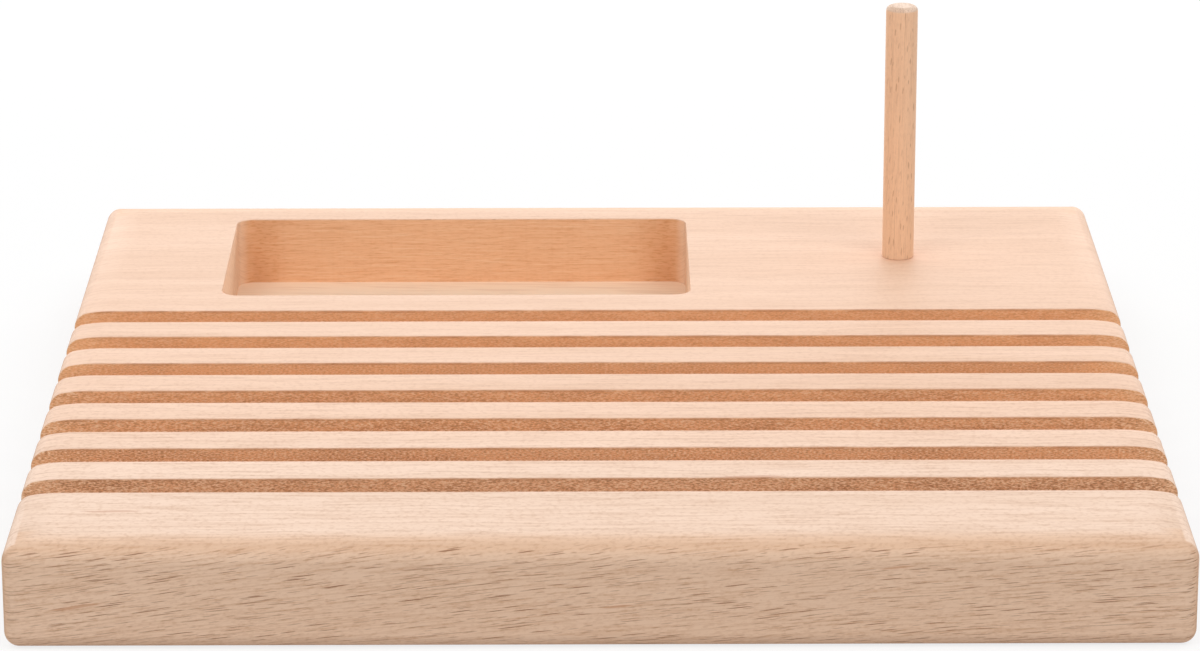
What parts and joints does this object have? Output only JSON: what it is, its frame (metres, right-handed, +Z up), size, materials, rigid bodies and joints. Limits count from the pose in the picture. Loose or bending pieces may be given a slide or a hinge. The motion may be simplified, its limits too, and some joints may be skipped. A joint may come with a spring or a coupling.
{
  "type": "ruler and spool holder",
  "caption": "Solid beech block with parallel open-ended slots that hold rulers on edge, a routed tray for small tools and an upright dowel that carries a thread spool.",
  "frame": {"origin": "centre of the block's underside, on the surface that the holder stands on", "axes": "+X to the right along the slots, +Y from the front edge to the back, +Z up along the spool pin"},
  "size_m": [0.194, 0.196, 0.0674],
  "materials": {
    "beech_block": "bare sanded beech, grain along the slots",
    "beech_dowel": "bare sanded beech, grain along the pin"
  },
  "bodies": {
    "block": {"slotted_block": "beech_block"},
    "pin": {"spool_pin": "beech_dowel"}
  },
  "joints": [
    {"name": "pin_pull", "type": "slide", "parent": "block", "child": "pin", "axis": [0, 0, 1], "range_m": [0, 0.012]}
  ]
}
